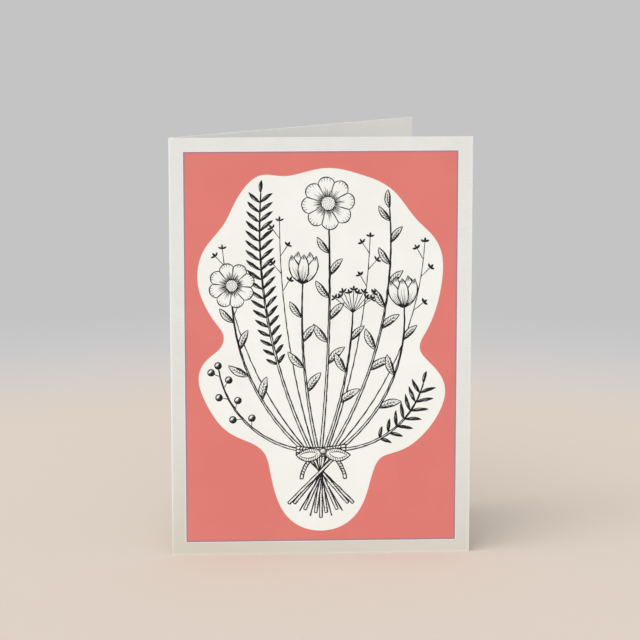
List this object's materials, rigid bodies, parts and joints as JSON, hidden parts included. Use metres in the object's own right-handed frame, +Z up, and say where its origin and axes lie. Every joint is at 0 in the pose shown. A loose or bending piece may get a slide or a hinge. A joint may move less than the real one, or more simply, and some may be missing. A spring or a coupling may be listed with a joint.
{
  "type": "greeting card",
  "caption": "Folded greeting card that stands slightly open, with a coral field, a pale cut-out shape and a line drawing of a tied bunch of flowers.",
  "frame": {"origin": "middle of the footprint's bounding box, on the surface that the card stands on", "axes": "+Z up along the fold; the printed front faces -Y with the fold at its -X side, and the back panel opens towards +Y"},
  "size_m": [0.105, 0.0572, 0.148],
  "materials": {
    "card_board": "uncoated off-white board with a fine tooth",
    "pale_ink": "matte pale print",
    "coral_ink": "matte coral print",
    "black_ink": "matte black line print"
  },
  "bodies": {
    "root": {"folded_card": "card_board", "pale_ground": "pale_ink", "coral_field": "coral_ink", "black_drawing": "black_ink"}
  },
  "joints": []
}
